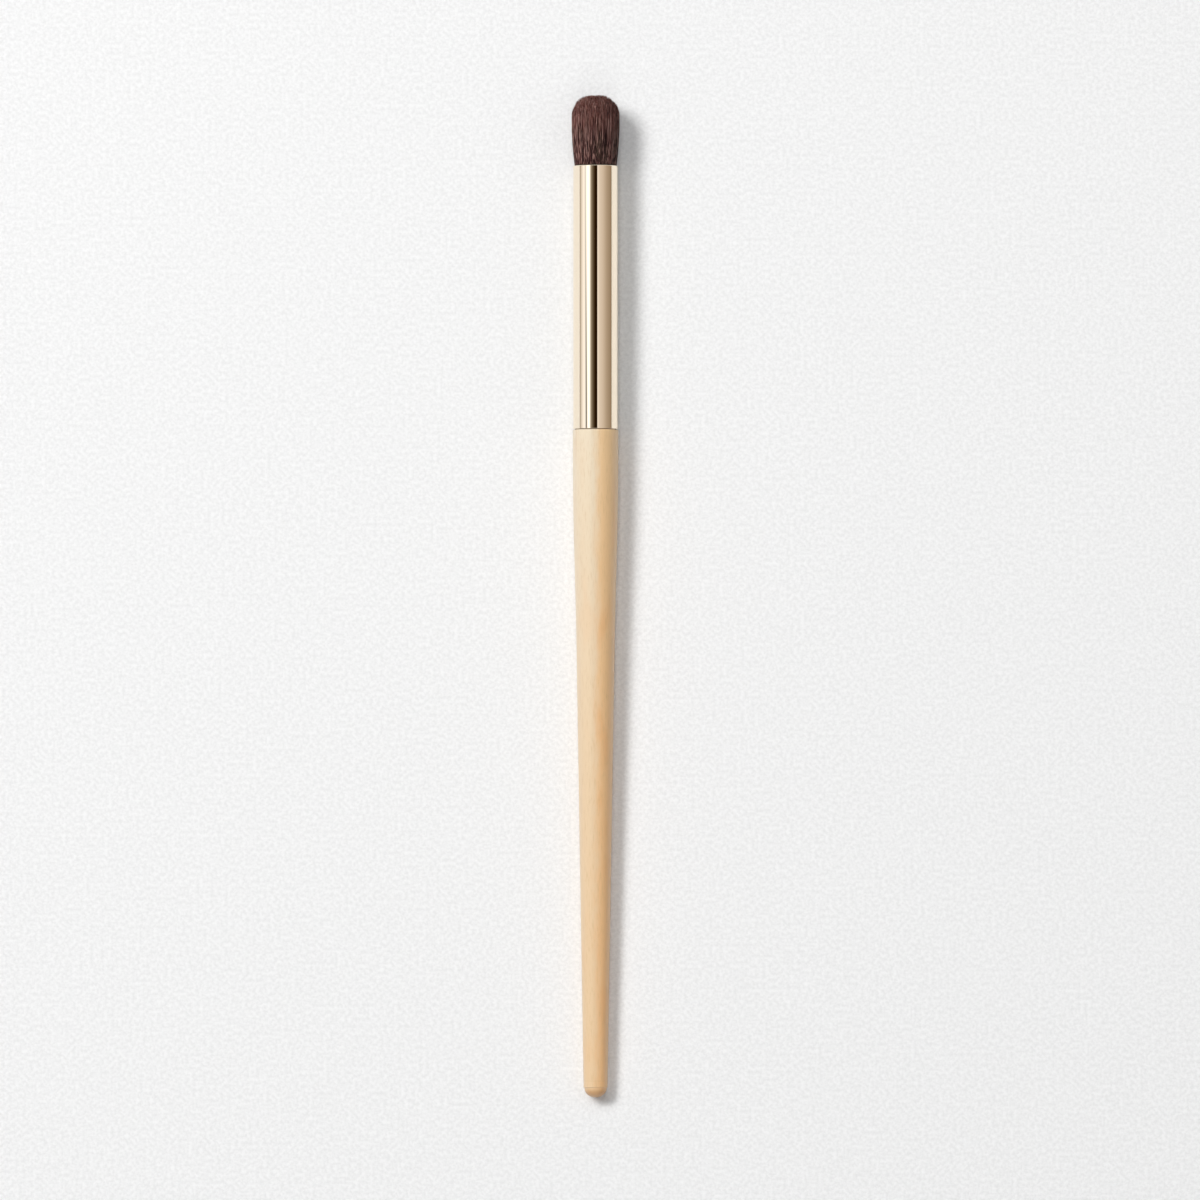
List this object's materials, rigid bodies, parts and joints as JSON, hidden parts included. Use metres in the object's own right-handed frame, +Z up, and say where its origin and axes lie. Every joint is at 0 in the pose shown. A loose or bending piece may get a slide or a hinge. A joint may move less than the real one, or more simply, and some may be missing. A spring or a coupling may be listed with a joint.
{
  "type": "blending brush",
  "caption": "Round makeup brush with a domed tuft of dark bristles, a gold metal ferrule and a slim tapered wooden handle, for blending powder.",
  "frame": {"origin": "on the table under the middle of the brush's length, with the brush lying on its side", "axes": "+Z up from the table; +Y along the brush towards the tuft, whose axis rises 1 degree because the brush lies on the swell of its handle and on its thin butt; +X to the right when looking along +Y"},
  "size_m": [0.0081, 0.17, 0.0089],
  "materials": {
    "birch": "satin",
    "champagne_metal": "polished",
    "dark_filament": "satin",
    "amber_resin": "gloss",
    "waxed_thread": "matte",
    "dried_glue": "satin"
  },
  "bodies": {
    "root": {"handle": "birch", "ferrule": "champagne_metal", "bristle_tuft": "dark_filament", "root_plug": "amber_resin", "root_binding": "waxed_thread", "tenon_glue": "dried_glue"}
  },
  "joints": []
}
